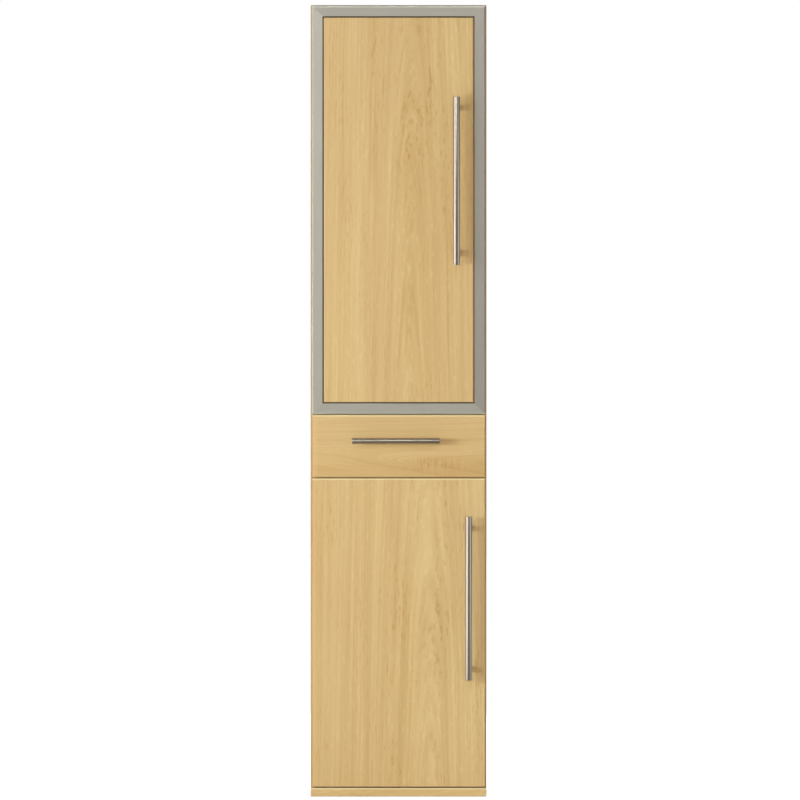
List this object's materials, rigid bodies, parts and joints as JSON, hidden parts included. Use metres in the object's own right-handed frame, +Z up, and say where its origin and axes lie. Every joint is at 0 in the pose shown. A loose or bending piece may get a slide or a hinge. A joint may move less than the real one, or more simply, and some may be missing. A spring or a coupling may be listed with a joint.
{
  "type": "tall bathroom cabinet",
  "caption": "Tall narrow oak bathroom cabinet: aluminium-framed upper door, drawer and plain lower door with round bar handles, hinged at the left; stands on its base and fixes to a wall.",
  "frame": {"origin": "centre of the base board's underside, half way between the front faces and the carcass's rear edges", "axes": "+Z up, -Y out of the fronts towards the user, +X to the viewer's right"},
  "size_m": [0.4, 0.376, 1.8],
  "materials": {
    "oak_front": "light honey oak, satin lacquer",
    "oak_base": "light honey oak, satin lacquer, grain across",
    "oak_board": "oak-faced board, satin",
    "back_board": "thin fibreboard, oak-coloured face",
    "beech_board": "pale board, satin lacquer",
    "beech_dowel": "plain beech",
    "frame_aluminium": "satin anodised, brushed along its length",
    "cast_zinc": "die-cast zinc, nickel plated, satin",
    "hinge_steel": "pressed steel, nickel plated",
    "handle_steel": "satin stainless steel, brushed",
    "screw_steel": "zinc plated",
    "runner_paint": "epoxy powder coat, off-white",
    "roller_plastic": "off-white nylon",
    "bumper_rubber": "soft pale polyurethane"
  },
  "bodies": {
    "carcass": {"base_panel": "oak_base", "side_panel_left": "oak_board", "side_panel_right": "oak_board", "top_panel": "oak_board", "upper_divider": "oak_board", "lower_divider": "oak_board", "wall_rail": "oak_board", "back_panel": "back_board", "shelf_high": "oak_board", "shelf_middle": "oak_board", "shelf_low": "oak_board", "shelf_pins": "screw_steel", "cam_locks": "cast_zinc", "cam_bolts": "screw_steel", "dowels": "beech_dowel", "runner_left": "runner_paint", "runner_right": "runner_paint", "hinge_plates": "cast_zinc", "arm_screws": "screw_steel", "carcass_screws": "screw_steel", "bumpers": "bumper_rubber", "hinge_arm_lower_bottom": "hinge_steel", "hinge_arm_lower_top": "hinge_steel", "hinge_arm_upper_bottom": "hinge_steel", "hinge_arm_upper_top": "hinge_steel"},
    "upper_door": {"frame_hinge_stile": "frame_aluminium", "frame_handle_stile": "frame_aluminium", "frame_bottom_rail": "frame_aluminium", "frame_top_rail": "frame_aluminium", "frame_corner_keys": "cast_zinc", "upper_door_panel": "oak_front", "hinge_housing_bottom": "cast_zinc", "hinge_housing_top": "cast_zinc", "upper_hinge_pins": "hinge_steel", "upper_hinge_screws": "screw_steel", "upper_handle_bar": "handle_steel", "upper_handle_posts": "handle_steel", "upper_handle_screws": "screw_steel"},
    "lower_door": {"lower_door": "oak_front", "hinge_cup_bottom": "cast_zinc", "hinge_cup_top": "cast_zinc", "lower_hinge_pins": "hinge_steel", "lower_hinge_screws": "screw_steel", "lower_handle_bar": "handle_steel", "lower_handle_posts": "handle_steel", "lower_handle_screws": "screw_steel"},
    "drawer": {"drawer_front": "oak_front", "drawer_side_left": "beech_board", "drawer_side_right": "beech_board", "drawer_back": "beech_board", "drawer_bottom": "back_board", "drawer_slide_left": "runner_paint", "drawer_slide_right": "runner_paint", "drawer_slide_screws": "screw_steel", "drawer_handle_bar": "handle_steel", "drawer_handle_posts": "handle_steel", "drawer_handle_screws": "screw_steel"},
    "front_rollers": {"front_rollers": "roller_plastic"},
    "rear_rollers": {"rear_rollers": "roller_plastic"}
  },
  "joints": [
    {"name": "upper_door_hinge", "type": "hinge", "parent": "carcass", "child": "upper_door", "pos_m": [-0.19, -0.161, 1.33375], "axis": [0, 0, -1], "range_deg": [0, 95]},
    {"name": "lower_door_hinge", "type": "hinge", "parent": "carcass", "child": "lower_door", "pos_m": [-0.19, -0.161, 0.37275], "axis": [0, 0, -1], "range_deg": [0, 95]},
    {"name": "drawer_slide", "type": "slide", "parent": "carcass", "child": "drawer", "axis": [0, -1, 0], "range_m": [0, 0.21]},
    {"name": "front_roller_spin", "type": "hinge", "parent": "carcass", "child": "front_rollers", "pos_m": [0, -0.137, 0.75025], "axis": [1, 0, 0], "range_deg": [0, 1100]},
    {"name": "rear_roller_spin", "type": "hinge", "parent": "drawer", "child": "rear_rollers", "pos_m": [0, 0.122, 0.75125], "axis": [1, 0, 0], "range_deg": [0, 1100]}
  ],
  "couplings": [
    {"joint": "front_roller_spin", "follows": "drawer_slide", "rad_per_m": 90.909},
    {"joint": "rear_roller_spin", "follows": "drawer_slide", "rad_per_m": 90.909}
  ]
}
